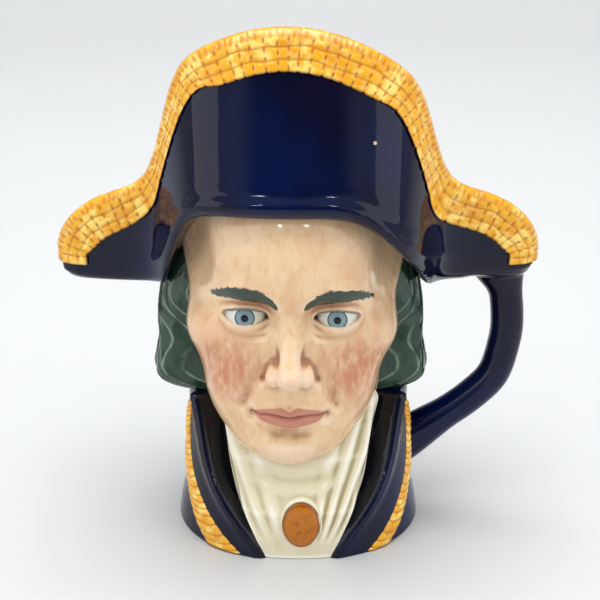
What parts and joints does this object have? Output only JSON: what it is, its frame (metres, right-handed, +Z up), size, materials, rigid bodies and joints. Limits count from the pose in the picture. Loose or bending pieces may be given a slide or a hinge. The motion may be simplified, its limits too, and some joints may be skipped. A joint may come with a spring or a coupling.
{
  "type": "character jug",
  "caption": "Hollow glazed earthenware jug shaped as an officer's head and shoulders, with a two-pointed hat for its mouth and a loop handle.",
  "frame": {"origin": "centre of the jug's bounding box, on the surface that the foot stands on", "axes": "+Z up, -Y the way the face looks, +X towards the handle"},
  "size_m": [0.1624, 0.0982, 0.1797],
  "materials": {
    "glazed_earthenware": "glossy clear glaze over hand-painted earthenware"
  },
  "bodies": {
    "root": {"jug": "glazed_earthenware"}
  },
  "joints": []
}
